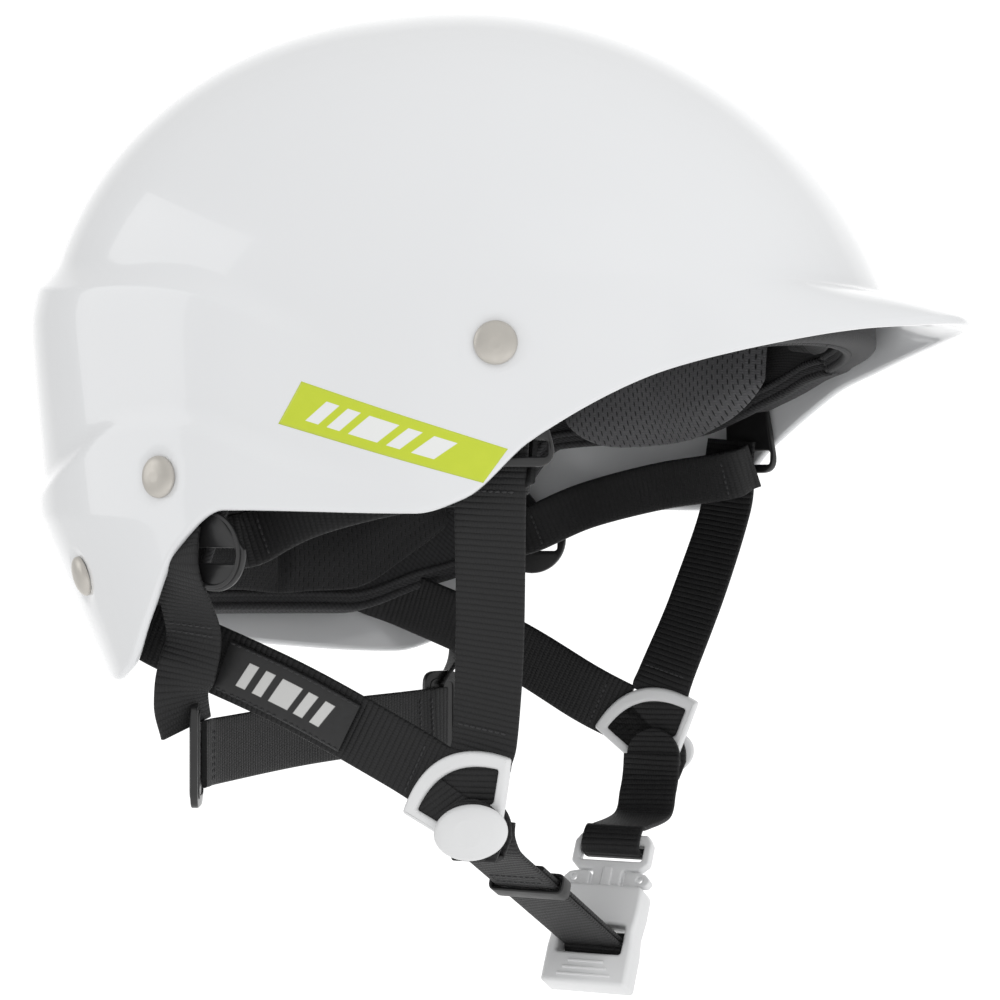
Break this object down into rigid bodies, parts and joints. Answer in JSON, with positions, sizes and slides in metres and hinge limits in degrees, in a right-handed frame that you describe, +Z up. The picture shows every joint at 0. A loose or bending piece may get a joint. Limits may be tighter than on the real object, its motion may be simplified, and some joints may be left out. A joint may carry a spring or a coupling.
{
  "type": "water helmet",
  "caption": "Hard-shell water sports helmet with short brim, padded liner, riveted webbing harness and side-release chin buckle.",
  "frame": {"origin": "centre of the crown pad's flat lower face, where the top of the wearer's head touches", "axes": "+X forward over the brim, +Y to the wearer's left, +Z up out of the crown"},
  "size_m": [0.2957, 0.2338, 0.3052],
  "materials": {
    "shell_white": "gloss",
    "eva_black": "matte",
    "mesh_grey": "matte",
    "mesh_black": "matte",
    "satin_nickel": "satin",
    "plated_steel": "satin",
    "black_plastic": "satin",
    "webbing": "matte",
    "pale_acetal": "satin",
    "black_rubber": "matte"
  },
  "bodies": {
    "helmet": {"outer_shell": "shell_white", "foam_liner": "eva_black", "crown_pad": "mesh_grey", "brow_pad": "mesh_black", "temple_pad_left": "mesh_grey", "temple_pad_right": "mesh_grey", "rear_pad": "mesh_black", "rivet_temple_left": "satin_nickel", "washer_temple_left": "plated_steel", "rivet_side_left": "satin_nickel", "washer_side_left": "plated_steel", "rivet_nape_left": "satin_nickel", "washer_nape_left": "plated_steel", "front_hanger_left": "black_plastic", "rear_hanger_left": "black_plastic", "front_sling_left": "webbing", "rear_sling_left": "webbing", "interconnect_strap_left": "webbing", "strap_ring_left": "pale_acetal", "rivet_temple_right": "satin_nickel", "washer_temple_right": "plated_steel", "rivet_side_right": "satin_nickel", "washer_side_right": "plated_steel", "rivet_nape_right": "satin_nickel", "washer_nape_right": "plated_steel", "front_hanger_right": "black_plastic", "rear_hanger_right": "black_plastic", "front_sling_right": "webbing", "rear_sling_right": "webbing", "interconnect_strap_right": "webbing", "strap_ring_right": "pale_acetal", "label_patch": "black_rubber"},
    "chin_loop": {"chin_tab_left": "webbing", "chin_tab_right": "webbing", "chin_strap_left": "webbing", "ring_button_left": "pale_acetal", "ring_button_right": "pale_acetal", "buckle_plug": "pale_acetal"},
    "prong_front": {"buckle_prong_front": "pale_acetal"},
    "prong_rear": {"buckle_prong_rear": "pale_acetal"},
    "right_chin_strap": {"chin_strap_right": "webbing"},
    "keeper": {"strap_keeper": "black_rubber"},
    "socket": {"buckle_socket": "pale_acetal"},
    "nape_cradle": {"drop_strap_left": "webbing", "drop_strap_right": "webbing", "nape_plate_left": "black_plastic", "nape_plate_right": "black_plastic", "nape_strap": "webbing"}
  },
  "joints": [
    {"name": "chin_swing", "type": "hinge", "parent": "helmet", "child": "chin_loop", "pos_m": [0.0395, 0, -0.21365], "axis": [-0.0336, 0.9977, 0.0585], "range_deg": [-20, 25]},
    {"name": "strap_drop", "type": "hinge", "parent": "chin_loop", "child": "right_chin_strap", "pos_m": [0.041, -0.0665, -0.2235], "axis": [-1, 0, 0], "range_deg": [0, 28]},
    {"name": "socket_tilt", "type": "hinge", "parent": "right_chin_strap", "child": "socket", "pos_m": [0.038, 0.0215, -0.2645], "axis": [1, 0, 0], "range_deg": [0, 28]},
    {"name": "keeper_slide", "type": "slide", "parent": "right_chin_strap", "child": "keeper", "axis": [0, 0.9064, -0.4223], "range_m": [-0.006, 0.008]},
    {"name": "prong_squeeze", "type": "hinge", "parent": "chin_loop", "child": "prong_front", "pos_m": [0.046, 0.03146, -0.2435], "axis": [0, -0.8762, 0.482], "range_deg": [0, 4], "stiffness_Nm_per_rad": 0.05},
    {"name": "prong_rear_squeeze", "type": "hinge", "parent": "chin_loop", "child": "prong_rear", "pos_m": [0.03, 0.03146, -0.2435], "axis": [0, -0.8762, 0.482], "range_deg": [-4, 0]},
    {"name": "nape_swing", "type": "hinge", "parent": "helmet", "child": "nape_cradle", "pos_m": [-0.045, 0, -0.137], "axis": [0, 1, 0], "range_deg": [-3, 8]}
  ],
  "couplings": [
    {"joint": "socket_tilt", "follows": "strap_drop", "ratio": 1},
    {"joint": "prong_rear_squeeze", "follows": "prong_squeeze", "ratio": -1}
  ]
}
